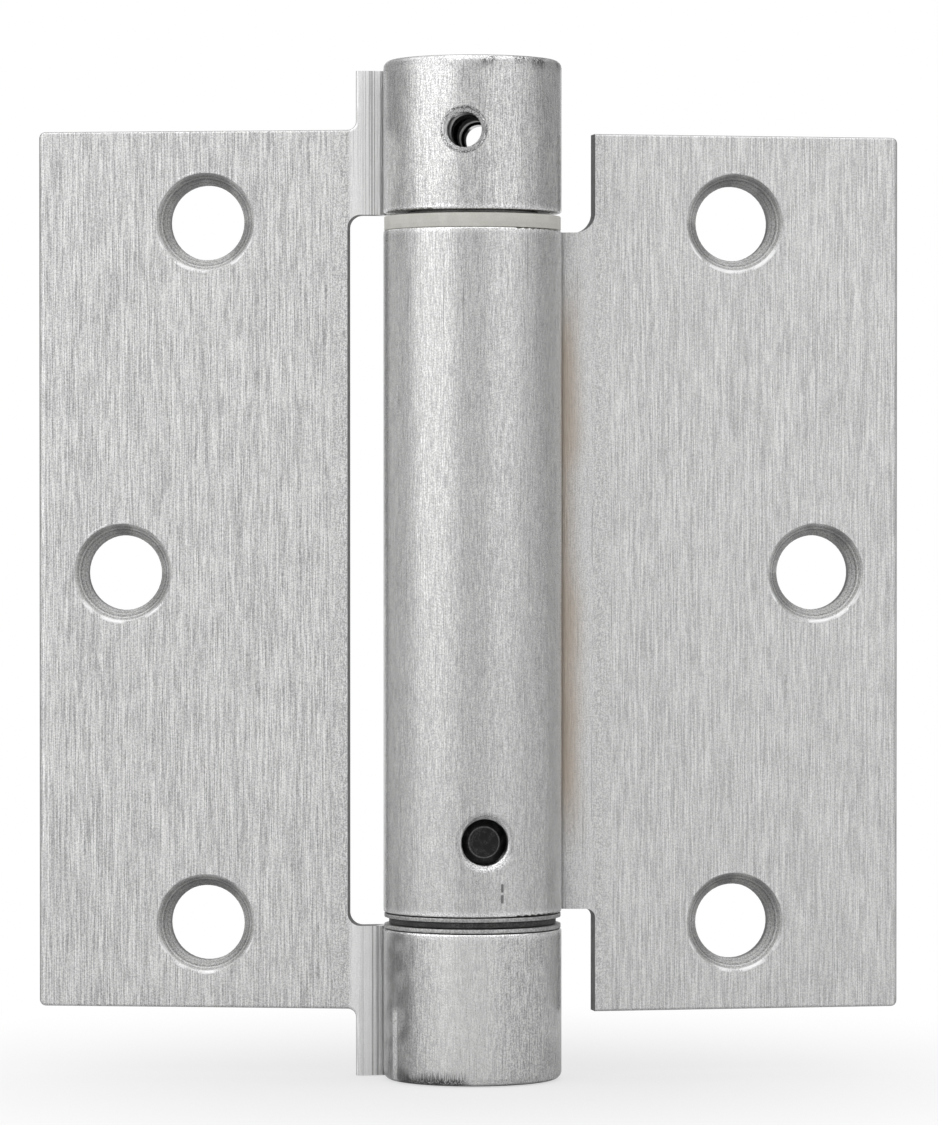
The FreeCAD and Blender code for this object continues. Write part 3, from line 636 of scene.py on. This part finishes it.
def knock_ends_and_light_top(steel):
    """Knocks on the two end rims of the barrel, and painted highlights on the left of the top knuckle and of
    its top rim.
    """
    wiring, place = steel.wiring, steel.place
    knocks = wiring.mix((steel.clouds, 0.45), (steel.short, 0.55))
    top = wiring.product(steel.barrel, wiring.fade(place["Height"], UPPER_GAP_HEIGHT, BARREL_TOP))
    # Painted highlight: a patch on the left of the top knuckle is whitened.
    patch = wiring.fade(wiring.away(place["Across"], HIGHLIGHT_PATCH_ACROSS), 4.2, 1.2)
    steel.shade_towards(WHITE, top, patch, wiring.scale(steel.specks, 0.1, 0.35))
    # Painted highlight: the left of the top rim is whitened; its right is knocked dark.
    top_rim = wiring.product(wiring.fade(place["Height"], BARREL_TOP - 2.0, BARREL_TOP - 0.4), steel.upright)
    left_part = wiring.fade(place["Across"], 1.0, -2.0)
    steel.shade_towards(WHITE, top_rim, left_part, wiring.scale(steel.specks, 0.1, 0.5))
    right_part = wiring.fade(place["Across"], -9.0, 0.0)
    steel.shade_towards(steel.cut, top_rim, right_part, wiring.fade(knocks, 0.45, 0.75))
    low_rim = wiring.product(wiring.fade(place["Height"], 2.4 - BARREL_TOP, 0.3 - BARREL_TOP), steel.upright)
    left_part = wiring.fade(wiring.away(place["Across"], LOW_KNOCKS_ACROSS), 4.6, 2.8)
    steel.shade_towards(steel.cut, low_rim, left_part, wiring.fade(knocks, 0.35, 0.7))


def cut_tension_mouth(steel):
    """The countersunk mouth of the tension hole, whitened, with a dark ring round it."""
    wiring, place = steel.wiring, steel.place
    front = wiring.fade(place["Radius"], BARREL_RADIUS - 1.2, BARREL_RADIUS - 0.9)
    front = wiring.product(steel.barrel, place["Front"], front)
    mouth = wiring.product(front, wiring.fade(place["Tension"], 2.65, 2.5))
    edge = wiring.fade(wiring.away(place["Tension"], TENSION_MOUTH_RADIUS), 0.26, 0.08)
    edge = wiring.product(front, edge)
    steel.shade_towards(WHITE, mouth, wiring.fade(steel.short, 0.3, 0.9))
    steel.shade_towards(steel.cut, edge, wiring.fade(steel.specks, 0.25, 0.75), 0.9)
    steel.roughness = wiring.pick(mouth, steel.roughness, 0.3)


def score_tabs(steel):
    """Score lines along the pin where the tabs of the frame leaf run into the knuckles; the bright lines are
    also painted light against the barrel's shade.
    """
    wiring, place = steel.wiring, steel.place
    lines = use_group(wiring, "brush_strokes", Width=0.22, Length=120.0, Seed=3.0)["Strokes"]
    near = wiring.product(steel.flat, steel.face, wiring.fade(place["Reach"], 13.4, 12.0))
    steel.shade_towards(steel.dark, near, wiring.fade(lines, 0.3, 0.0), 0.6)
    # Painted light, with the score lines: bright lines are whitened, lifting the tabs beside the barrel.
    steel.shade_towards(WHITE, near, wiring.fade(lines, 0.5, 0.9), 0.7)


def tint_bend(steel, tint):
    """Heat tint along the bend of the door leaf, and painted shade in the crease between it and the barrel.
    """
    wiring, place = steel.wiring, steel.place
    drift = wiring.product(use_specks(wiring, 14.0, 2.0), 0.9)
    across = wiring.fade(wiring.total(place["Reach"], drift), 14.2, 11.0)
    along = wiring.fade(wiring.away(place["Height"], 0.5), 35.0, 23.0)
    mask = wiring.product(steel.flat, across, along, wiring.scale(steel.specks, 0.65, 0.85))
    steel.shade_towards(tint, mask)
    # Painted shade in the crease.
    crease_shade = wiring.product(steel.flat, steel.face, wiring.fade(place["Reach"], 11.4, 10.5))
    steel.shade_towards(steel.cut, crease_shade, 0.8)


def nick_barrel(steel):
    """Two short nicks in a row below the anchor pin."""
    wiring, place = steel.wiring, steel.place
    line = wiring.fade(wiring.away(place["Across"], NICKS_ACROSS), 0.24, 0.08)
    line = wiring.product(place["Front"], line)
    pair = wiring.away(wiring.away(place["Height"], NICKS_HEIGHT), 0.62)
    steel.shade_towards(steel.cut, steel.barrel, line, wiring.fade(pair, 0.55, 0.4), 0.8)


def mark_pin_mouth(steel):
    """The countersunk mouth of the anchor pin's hole, darkened in specks round its edge, with a painted
    highlight on its lower side.
    """
    wiring, place = steel.wiring, steel.place
    mouth = wiring.product(steel.barrel, place["Front"], wiring.fade(place["Pin"], 3.5, 3.3))
    edge = wiring.product(mouth, wiring.fade(place["Pin"], 2.95, 3.1), wiring.fade(steel.specks, 0.4, 0.8))
    steel.shade_towards(steel.cut, edge, 0.5)
    # Painted highlight: the lower side of the mouth is whitened and made glossier.
    lower_side = wiring.fade(place["Height"], PIN_MIDDLE.z / MM - 0.9, PIN_MIDDLE.z / MM - 2.2)
    lower_side = wiring.product(mouth, lower_side, wiring.fade(place["Across"], -2.2, -0.6))
    steel.shade_towards(WHITE, lower_side, wiring.fade(steel.specks, 0.05, 0.35))
    steel.roughness = wiring.pick(lower_side, steel.roughness, 0.3)


def nylon_material(rings):
    """Natural nylon, faintly mottled, with the tool marks of its mould."""
    nylon = tuple(rings.nylon)
    material, wiring, shader = new_material("natural_nylon", nylon, IOR=1.53)
    _, _, height = wiring.millimetres()
    clouds = use_specks(wiring, 1.6, 3.0)
    specks = use_specks(wiring, 0.16, 8.0)
    grooves = use_group(wiring, "turned_grooves", Distance=height, Pitch=0.3)[0]
    mottle = wiring.mix((clouds, 0.4), (specks, 0.35), (grooves, 0.25))
    base = wiring.blend(mottle, between(nylon, BLACK, 0.12), between(nylon, WHITE, 0.09))
    dress(wiring, shader, base, wiring.scale(mottle, 0.48, 0.62), mottle, 0.006)
    return material


def washer_material(name, steel, seed):
    """Punched washer steel with a grey rim of tool marks."""
    material, wiring, shader = new_material(name, steel, Metallic=1.0)
    x, y, height = wiring.millimetres()
    distance = wiring.total(wiring.hypotenuse(x, y), height)
    grooves = use_group(wiring, "turned_grooves", Distance=distance, Pitch=0.12)[0]
    specks = use_specks(wiring, 0.2, seed)
    worn = wiring.mix((grooves, 0.4), (specks, 0.6))
    base = wiring.blend(worn, between(steel, BLACK, 0.4), between(steel, WHITE, 0.15))
    dress(wiring, shader, base, wiring.scale(worn, 0.55, 0.42), worn, 0.006)
    return material


def slip_material(rings):
    """Filled black polymer, rubbed grey in specks."""
    black = tuple(rings.black)
    material, wiring, shader = new_material("black_polymer", black)
    specks = use_specks(wiring, 0.18, 21.0)
    clouds = use_specks(wiring, 1.2, 5.0)
    rubbed = wiring.product(specks, wiring.scale(clouds, 0.3, 1.0))
    base = wiring.blend(rubbed, black, between(black, WHITE, 0.07))
    dress(wiring, shader, base, wiring.scale(rubbed, 0.5, 0.68), specks, 0.01)
    return material


def pin_material(pin):
    """Blackened steel, dusty on its end and rubbed where the chamfer meets it."""
    black, worn = tuple(pin.black), tuple(pin.worn)
    material, wiring, shader = new_material("blackened_steel", black, Specular_IOR_Level=0.25)
    distance = use_group(wiring, "leaf_layout")["Pin"]
    specks = use_specks(wiring, 0.14, 2.0)
    clouds = use_specks(wiring, 0.9, 31.0)
    edge = wiring.fade(wiring.away(distance, (pin.radius - pin.chamfer) / MM), 0.13, 0.03)
    dust = wiring.product(specks, wiring.scale(clouds, 0.0, 0.2))
    mask = wiring.math("MAXIMUM", wiring.product(edge, wiring.scale(specks, 0.45, 0.95)), dust)
    base = wiring.blend(mask, black, worn)
    dress(wiring, shader, base, wiring.scale(specks, 0.45, 0.6), specks, 0.012)
    return material


def wire_material(spring):
    """Drawn spring wire, oiled, with a brown cast in its hollows."""
    wire = tuple(spring.wire)
    material, wiring, shader = new_material("spring_wire", wire, Metallic=1.0)
    specks = use_specks(wiring, 0.15, 13.0)
    clouds = use_specks(wiring, 2.2, 6.0)
    oil = wiring.mix((specks, 0.4), (clouds, 0.6))
    base = wiring.blend(oil, between(wire, BROWN_OIL, 0.5), between(wire, WHITE, 0.2))
    dress(wiring, shader, base, wiring.scale(oil, 0.34, 0.48), specks, 0.006)
    return material


def plug_material(plugs):
    """Turned steel, with grooves round the pin axis and painted shade near the axis."""
    light, dark = tuple(plugs.light), tuple(plugs.dark)
    material, wiring, shader = new_material("turned_steel", between(light, dark, 0.5), Metallic=1.0)
    x, y, z = wiring.millimetres()
    distance = wiring.total(wiring.hypotenuse(x, y), z)
    grooves = use_group(wiring, "turned_grooves", Distance=distance, Pitch=plugs.groove_pitch / MM)[0]
    specks = use_specks(wiring, 0.2, 11.0)
    clouds = use_specks(wiring, 3.0, 4.0)
    tone = wiring.mix((grooves, 0.45), (specks, 0.3), (clouds, 0.25))
    within = wiring.fade(wiring.hypotenuse(x, y), 5.4, 4.9)
    base = wiring.blend(tone, dark, light)
    # Painted shade: darkened and dulled within about 5 mm of the pin axis.
    base = wiring.blend(wiring.product(within, 0.85), base, SOCKET_SHADE)
    roughness = wiring.pick(within, wiring.scale(clouds, 0.3, 0.45), 0.85)
    dress(wiring, shader, base, roughness, grooves, 0.01)
    return material


# Modelling by hand
def settle(name):
    """Name the primitive just added and put its place into its mesh."""
    piece = bpy.context.object
    piece.name = name
    bpy.ops.object.transform_apply(location=True, rotation=True, scale=True)
    return piece


def add_drum(name, radius, low, high):
    """A closed drum about the pin axis, between two levels."""
    bpy.ops.object.select_all(action="DESELECT")
    bpy.ops.mesh.primitive_cylinder_add(
        vertices=DRUM_SIDES, radius=radius, depth=high - low, location=(0, 0, (low + high) / 2)
    )
    return settle(name)


def select_faces(piece, test):
    """Go to edit mode with the faces that pass the test selected, and nothing else."""
    bpy.ops.object.mode_set(mode="EDIT")
    bpy.ops.mesh.select_mode(type="FACE")
    bpy.ops.mesh.select_all(action="DESELECT")
    bpy.ops.object.mode_set(mode="OBJECT")
    for face in piece.data.polygons:
        face.select = test(face)
    bpy.ops.object.mode_set(mode="EDIT")


def is_cap(face):
    return len(face.vertices) > 4


def is_top(face):
    return is_cap(face) and face.normal.z > 0.9


def is_foot(face):
    return is_cap(face) and face.normal.z < -0.9


def open_bore(piece, top_wall, foot_wall):
    """Take a bore through both ends, a wall's width in from each rim."""
    select_faces(piece, is_top)
    bpy.ops.mesh.inset(thickness=top_wall)
    select_faces(piece, is_foot)
    bpy.ops.mesh.inset(thickness=foot_wall)
    select_faces(piece, is_cap)
    bpy.ops.mesh.bridge_edge_loops()


def bevel_sharp(angle, offset, segments):
    """In edit mode, bevel every edge that is sharper than an angle in degrees."""
    bpy.ops.mesh.select_mode(type="EDGE")
    bpy.ops.mesh.select_all(action="DESELECT")
    bpy.ops.mesh.edges_select_sharp(sharpness=math.radians(angle))
    bpy.ops.mesh.bevel(offset=offset, offset_type="OFFSET", segments=segments, affect="EDGES")


def close_mesh():
    """Turn all faces outwards, leave edit mode and shade the round surfaces smooth."""
    bpy.ops.mesh.select_all(action="SELECT")
    bpy.ops.mesh.normals_make_consistent(inside=False)
    bpy.ops.object.mode_set(mode="OBJECT")
    bpy.ops.object.shade_smooth_by_angle(angle=SMOOTH_ANGLE)


def hand_over(piece, node, material):
    """Let a finished piece take the place of a CAD node."""
    finish(piece, material)
    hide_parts(node)


class HINGE_OT_brush_leaves(bpy.types.Operator):
    """Brush both leaves along the pin, mark them where they are worn and paint light and shade on them"""

    bl_idname = "spring_hinge.brush_leaves"
    bl_label = "Brush leaves"

    def execute(self, context):
        steel = context.scene.spring_hinge.steel
        frame_steel = LeafSteel("frame_leaf_steel", steel, steel.frame_contrast, painted_bend_light=0.75, seed=0.0)
        mark_low_knuckle(frame_steel)
        score_tabs(frame_steel)
        knock_ends_and_light_top(frame_steel)
        cut_tension_mouth(frame_steel)
        frame_steel.put_on("frame_leaf")
        door_steel = LeafSteel("door_leaf_steel", steel, steel.door_contrast, painted_bend_light=0.2, seed=17.0)
        tint_bend(door_steel, tuple(steel.tint))
        nick_barrel(door_steel)
        mark_pin_mouth(door_steel)
        door_steel.put_on("door_leaf")
        return {"FINISHED"}


class HINGE_OT_mould_bush(bpy.types.Operator):
    """Model the nylon bush, with its flange in the upper gap"""

    bl_idname = "spring_hinge.mould_bush"
    bl_label = "Mould bush"

    def execute(self, context):
        rings = context.scene.spring_hinge.rings
        foot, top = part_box("upper_bush")
        flange_radius = top.x
        bush = add_drum("nylon_bush", flange_radius, foot.z + rings.sleeve_length, top.z)
        select_faces(bush, is_foot)
        bpy.ops.mesh.inset(thickness=flange_radius - rings.sleeve)
        bpy.ops.mesh.extrude_region_move(TRANSFORM_OT_translate={"value": (0, 0, -rings.sleeve_length)})
        open_bore(bush, flange_radius - rings.bush_bore, rings.sleeve - rings.bush_bore)
        bevel_sharp(SQUARE_EDGE, rings.moulded_edge, 3)
        close_mesh()
        hand_over(bush, "upper_bush", nylon_material(rings))
        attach(bush, "door")
        return {"FINISHED"}


class HINGE_OT_punch_rings(bpy.types.Operator):
    """Model the two thrust washers and the slip ring of the lower gap"""

    bl_idname = "spring_hinge.punch_rings"
    bl_label = "Punch rings"

    def execute(self, context):
        rings = context.scene.spring_hinge.rings
        washer = tuple(rings.washer)
        # The upper washer is a darker copy of the washer steel: painted shade.
        shaded_washer = washer_material("washer_steel_painted_shade", between(washer, BLACK, 0.15), 1.0)
        unshaded_washer = washer_material("washer_steel_unshaded", washer, 7.0)
        stack = [
            ("upper_washer", "upper_thrust_washer", "door", "washer_steel", shaded_washer),
            ("slip_disc", "slip_ring", "frame", "slip_black", slip_material(rings)),
            ("lower_washer", "lower_thrust_washer", "frame", "washer_steel", unshaded_washer),
        ]
        for name, node, body, slot, material in stack:
            foot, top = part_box(node)
            ring = add_drum(name, top.x, foot.z, top.z)
            wall = top.x - rings.washer_bore
            open_bore(ring, wall, wall)
            bevel_sharp(SQUARE_EDGE, rings.punched_edge, 2)
            close_mesh()
            hand_over(ring, node, material)
            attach(ring, body)
        return {"FINISHED"}


class HINGE_OT_blacken_pin(bpy.types.Operator):
    """Model the chamfered anchor pin, low in the centre barrel"""

    bl_idname = "spring_hinge.blacken_pin"
    bl_label = "Blacken pin"

    def execute(self, context):
        pin = context.scene.spring_hinge.pin
        bpy.ops.object.select_all(action="DESELECT")
        bpy.ops.mesh.primitive_cylinder_add(
            vertices=PIN_SIDES,
            radius=pin.radius,
            depth=pin.length,
            location=PIN_MIDDLE,
            rotation=(math.pi / 2, 0, PIN_BEARING),
        )
        dowel = settle("dowel_pin")
        bpy.ops.object.mode_set(mode="EDIT")
        bevel_sharp(SQUARE_EDGE, pin.chamfer, 1)
        bevel_sharp(CHAMFERED_EDGE, pin.chamfer / 12, 2)
        select_faces(dowel, is_cap)
        bpy.ops.mesh.inset(thickness=pin.chamfer / 3, use_individual=True)
        bpy.ops.mesh.inset(thickness=pin.chamfer / 5, depth=-pin.dish, use_individual=True)
        close_mesh()
        hand_over(dowel, "anchor_pin", pin_material(pin))
        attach(dowel, "door")
        return {"FINISHED"}


class HINGE_OT_wind_spring(bpy.types.Operator):
    """Wind the closing spring, with a tang bent in across each end"""

    bl_idname = "spring_hinge.wind_spring"
    bl_label = "Wind spring"

    def execute(self, context):
        spring = context.scene.spring_hinge.spring
        room = spring.wire_radius + spring.end_swell
        low, high = SPRING_LOW + room, SPRING_HIGH - room
        bend_reach = math.sqrt((spring.coil_radius - spring.bend_radius) ** 2 - spring.bend_radius**2)
        short = math.atan2(spring.bend_radius, bend_reach)
        bpy.ops.object.select_all(action="DESELECT")
        start = Vector((math.cos(short), -math.sin(short), 0)) * spring.coil_radius
        bpy.ops.mesh.primitive_circle_add(
            vertices=WIRE_SIDES,
            radius=spring.wire_radius,
            location=start + Vector((0, 0, low)),
            rotation=(math.pi / 2, 0, -short),
        )
        coil = settle("closing_spring")
        winding = coil.modifiers.new("winding", "SCREW")
        winding.angle = 2 * short - spring.turns * 2 * math.pi
        winding.screw_offset = high - low
        winding.steps = winding.render_steps = spring.turns * STEPS_PER_TURN
        bpy.ops.object.modifier_apply(modifier=winding.name)

        for level, side in ((low, -1), (high, 1)):
            self.select_end(coil, level, room)
            bpy.ops.mesh.spin(
                steps=BEND_STEPS,
                angle=-side * (math.pi / 2 + short),
                center=(bend_reach, side * spring.bend_radius, level),
                axis=(0, 0, 1),
            )
            tang = bend_reach + spring.tang_overrun
            bpy.ops.mesh.extrude_region_move(TRANSFORM_OT_translate={"value": (-tang, 0, 0)})
            bpy.ops.mesh.edge_face_add()
        close_mesh()
        hand_over(coil, "torsion_spring", wire_material(spring))
        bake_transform(coil)
        return {"FINISHED"}

    def select_end(self, coil, level, room):
        """Go to edit mode with one open end of the wire selected."""
        bpy.ops.object.mode_set(mode="EDIT")
        bpy.ops.mesh.select_mode(type="VERT")
        bpy.ops.mesh.select_all(action="DESELECT")
        bpy.ops.mesh.select_non_manifold()
        bpy.ops.object.mode_set(mode="OBJECT")
        for point in coil.data.vertices:
            point.select = point.select and abs(point.co.z - level) < room
        bpy.ops.object.mode_set(mode="EDIT")


class HINGE_OT_turn_plugs(bpy.types.Operator):
    """Give the adjuster and the two plugs their turned finish"""

    bl_idname = "spring_hinge.turn_plugs"
    bl_label = "Turn plugs"

    def execute(self, context):
        steel = plug_material(context.scene.spring_hinge.plugs)
        for node in ("tension_adjuster", "anchor_plug", "bottom_plug"):
            finish(frame["nodes"][node], steel)
        return {"FINISHED"}


class HINGE_OT_set_studio(bpy.types.Operator):
    """Set up the floor, the lights and the camera"""

    bl_idname = "spring_hinge.set_studio"
    bl_label = "Set studio"

    def execute(self, context):
        scene = context.scene
        studio = scene.spring_hinge.studio
        scene.view_settings.view_transform = "Standard"
        towards = Vector((math.sin(studio.bearing), -math.cos(studio.bearing), 0))
        self.add_camera(scene, studio, towards)
        self.light_room(scene, studio, towards)
        self.add_softbox("left_softbox", bearing=-54, width=1.25, strength=studio.left)
        self.add_softbox("right_softbox", bearing=40, width=0.9, strength=studio.right)
        self.lay_floor(studio)
        return {"FINISHED"}

    def add_camera(self, scene, studio, towards):
        place = towards * studio.distance + Vector((0, 0, studio.rise))
        turn = (CAMERA_AIM - place).to_track_quat("-Z", "Y").to_euler()
        bpy.ops.object.camera_add(location=place, rotation=turn)
        camera = bpy.context.object
        camera.name = "studio_camera"
        camera.data.sensor_fit = "VERTICAL"
        camera.data.sensor_height = SENSOR_HEIGHT
        camera.data.lens = studio.focal_length
        scene.camera = camera

    def light_room(self, scene, studio, towards):
        """A room brightest overhead and dimmer beside the hinge, with a white backdrop behind it."""
        world = bpy.data.worlds.new("studio_room")
        scene.world = world
        world.use_nodes = True
        wiring = Wiring(world.node_tree)
        background = world.node_tree.nodes["Background"]
        direction = wiring.add("ShaderNodeTexCoord").outputs["Generated"]
        front = wiring.fade(wiring.dot(direction, ROOM_FRONT), -0.25, 0.1)
        overhead = wiring.fade(wiring.dot(direction, Vector((0, 0, 1))), 0.55, 0.85)
        room = wiring.pick(overhead, wiring.scale(front, studio.shade, studio.fill), studio.ceiling)
        backdrop = wiring.fade(wiring.dot(direction, towards), -0.93, -0.97)
        wiring.feed(background.inputs["Strength"], wiring.pick(wiring.shown(backdrop), room, 1.0))
        background.inputs["Color"].default_value = (1, 1, 1, 1)

    def add_softbox(self, name, bearing, width, strength):
        angle = math.radians(bearing)
        place = Vector((math.sin(angle), -math.cos(angle), 0)) * SOFTBOX_DISTANCE
        place.z = SOFTBOX_RISE
        turn = (-place).to_track_quat("-Z", "Y").to_euler()
        bpy.ops.object.light_add(type="AREA", location=place, rotation=turn)
        light = bpy.context.object
        light.name = name
        light.data.shape = "RECTANGLE"
        light.data.size = width
        light.data.size_y = SOFTBOX_HEIGHT
        light.data.energy = strength * math.pi * light.data.size * light.data.size_y

    def lay_floor(self, studio):
        """A pale floor that looks white away from the hinge and keeps its shadow below it."""
        bpy.ops.object.select_all(action="DESELECT")
        bpy.ops.mesh.primitive_circle_add(
            vertices=96, radius=FLOOR_RADIUS, fill_type="NGON", location=(0, 0, cad_box[0].z - FLOOR_GAP)
        )
        floor = settle("studio_floor")
        material, wiring, shader = new_material("pale_floor", FLOOR_GREY, Roughness=0.8)
        x, y, _ = wiring.millimetres()
        near = wiring.fade(wiring.hypotenuse(x, y), 100.0, 12.0)
        shown = wiring.shown(wiring.fade(y, 150.0, 400.0))
        white = wiring.product(shown, wiring.scale(near, 1.0, 1.0 - studio.shadow))
        glow = wiring.add("ShaderNodeEmission", {"Color": (1, 1, 1, 1), "Strength": 1.0})
        mixed = wiring.add("ShaderNodeMixShader", {0: white, 1: shader.outputs[0], 2: glow.outputs[0]})
        surface = material.node_tree.nodes["Material Output"].inputs["Surface"]
        wiring.feed(surface, mixed.outputs[0])
        finish(floor, material)


class HINGE_PT_finish(bpy.types.Panel):
    bl_label = "Spring Hinge"
    bl_idname = "HINGE_PT_finish"
    bl_space_type = "VIEW_3D"
    bl_region_type = "UI"
    bl_category = "Spring Hinge"

    def draw(self, context):
        settings = context.scene.spring_hinge
        for operator, group in STEPS:
            box = self.layout.box()
            box.operator(operator.bl_idname)
            for name in type(getattr(settings, group)).__annotations__:
                box.prop(getattr(settings, group), name)


STEPS = [
    (HINGE_OT_brush_leaves, "steel"),
    (HINGE_OT_mould_bush, "rings"),
    (HINGE_OT_punch_rings, "rings"),
    (HINGE_OT_blacken_pin, "pin"),
    (HINGE_OT_wind_spring, "spring"),
    (HINGE_OT_turn_plugs, "plugs"),
    (HINGE_OT_set_studio, "studio"),
]
CLASSES = [
    SteelSettings,
    RingSettings,
    PinSettings,
    SpringSettings,
    PlugSettings,
    StudioSettings,
    HingeSettings,
    *(operator for operator, _ in STEPS),
    HINGE_PT_finish,
]


def register():
    for made in CLASSES:
        bpy.utils.register_class(made)
    bpy.types.Scene.spring_hinge = PointerProperty(type=HingeSettings)


def unregister():
    del bpy.types.Scene.spring_hinge
    for made in reversed(CLASSES):
        bpy.utils.unregister_class(made)


def main():
    register()
    make_brush_group()
    make_speck_group()
    make_groove_group()
    make_layout_group()
    bpy.ops.spring_hinge.brush_leaves()
    bpy.ops.spring_hinge.mould_bush()
    bpy.ops.spring_hinge.punch_rings()
    bpy.ops.spring_hinge.blacken_pin()
    bpy.ops.spring_hinge.wind_spring()
    bpy.ops.spring_hinge.turn_plugs()
    bpy.ops.spring_hinge.set_studio()


if __name__ == "__main__":
    main()
